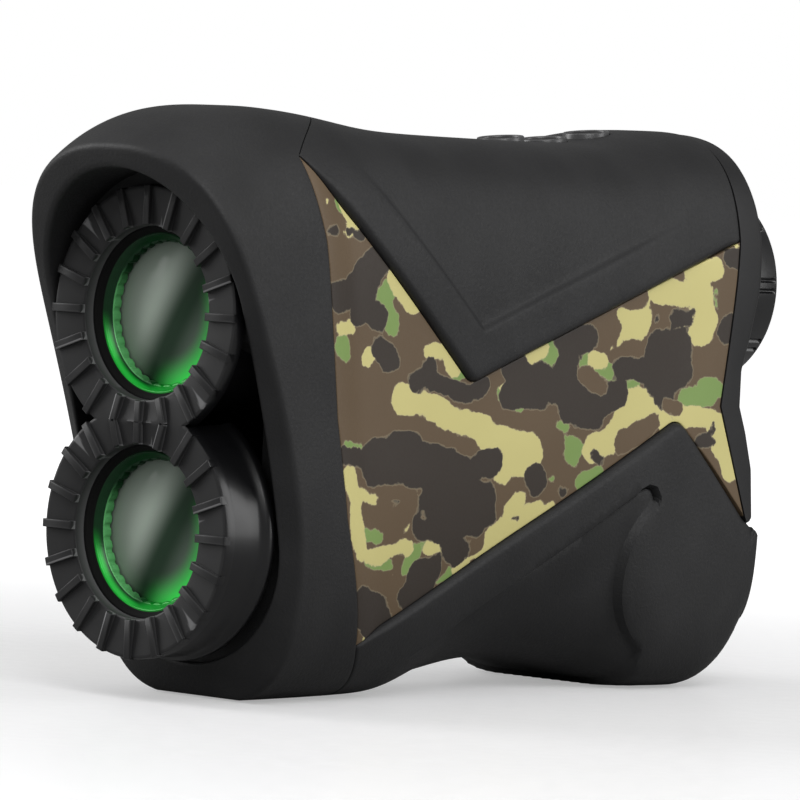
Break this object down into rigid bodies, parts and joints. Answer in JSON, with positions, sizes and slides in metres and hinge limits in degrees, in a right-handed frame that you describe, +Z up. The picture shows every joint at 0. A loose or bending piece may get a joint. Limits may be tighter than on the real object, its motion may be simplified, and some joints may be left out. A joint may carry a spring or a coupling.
{
  "type": "laser rangefinder",
  "caption": "Hand-held monocular laser rangefinder with stacked front lenses under a hood, camouflage side panels, rubber grips, roof buttons, focusing eyepiece and hinged battery door.",
  "frame": {"origin": "middle of the case on the surface it stands on, halfway between the front of the hood and the rim of the eyecup", "axes": "+Z up, the two front lenses look along -Y and the eye looks in from +Y, X runs across the case"},
  "size_m": [0.04, 0.118, 0.0758],
  "materials": {
    "rubber": "fine-grained matt black rubber",
    "camouflage": "matt printed pattern of khaki, leaf green, mid brown and dark brown patches",
    "moulded_black": "satin black moulded plastic",
    "casing": "dark grey glass-filled plastic",
    "gloss_black": "polished black",
    "anodised": "black anodised",
    "green_ring": "black-green anodised ring that catches the green of the lens coating",
    "coated_glass": "multi-coated glass with a green cast",
    "seal_rubber": "soft black nitrile",
    "brass": "turned brass",
    "steel": "plated steel",
    "circuit_board": "green solder mask",
    "battery_sleeve": "printed shrink sleeve"
  },
  "bodies": {
    "case": {"front_hood": "rubber", "lens_bezel": "moulded_black", "lower_barrel": "gloss_black", "core_left": "casing", "core_right": "casing", "side_panel_left": "camouflage", "side_panel_right": "camouflage", "top_grip": "rubber", "bottom_grip": "rubber", "rear_frame": "moulded_black", "objective_tube": "anodised", "objective_retainer": "green_ring", "objective_lens": "coated_glass", "objective_seal": "seal_rubber", "laser_tube": "anodised", "laser_retainer": "green_ring", "laser_lens": "coated_glass", "laser_seal": "seal_rubber", "laser_diode": "brass", "prism_holder": "casing", "erecting_prisms": "coated_glass", "display_panel": "casing", "receiver_diode": "brass", "main_board": "circuit_board", "button_board": "circuit_board", "button_bezels": "gloss_black", "eyepiece_mount": "anodised", "battery_bay": "casing", "battery_cell": "battery_sleeve", "battery_contacts": "steel", "hinge_pin": "steel", "case_screws": "steel", "rear_screws": "steel"},
    "front_button": {"button_front": "rubber"},
    "middle_button": {"button_middle": "rubber"},
    "rear_button": {"button_rear": "rubber"},
    "focus": {"focusing_ring": "gloss_black", "eyecup": "rubber"},
    "ocular": {"eyepiece_cell": "anodised", "eyepiece_lenses": "coated_glass"},
    "door": {"battery_door": "moulded_black", "door_seal": "seal_rubber"}
  },
  "joints": [
    {"name": "front_press", "type": "slide", "parent": "case", "child": "front_button", "axis": [0, 0, -1], "range_m": [0, 0.0006], "stiffness_N_per_m": 1500, "springref_m": -0.0002},
    {"name": "middle_press", "type": "slide", "parent": "case", "child": "middle_button", "axis": [0, 0, -1], "range_m": [0, 0.0006], "stiffness_N_per_m": 1500, "springref_m": -0.0002},
    {"name": "rear_press", "type": "slide", "parent": "case", "child": "rear_button", "axis": [0, 0, -1], "range_m": [0, 0.0006], "stiffness_N_per_m": 1500, "springref_m": -0.0002},
    {"name": "focus_turn", "type": "hinge", "parent": "case", "child": "focus", "pos_m": [0, 0.05126, 0.0547], "axis": [0, 1, 0], "range_deg": [-120, 120]},
    {"name": "ocular_slide", "type": "slide", "parent": "case", "child": "ocular", "axis": [0, 1, 0], "range_m": [-0.0012, 0.0012]},
    {"name": "door_hinge", "type": "hinge", "parent": "case", "child": "door", "pos_m": [0, 0.04926, 0.0036], "axis": [-1, 0, 0], "range_deg": [0, 90]}
  ],
  "couplings": [
    {"joint": "focus_turn", "follows": "ocular_slide", "rad_per_m": 1745.2}
  ]
}
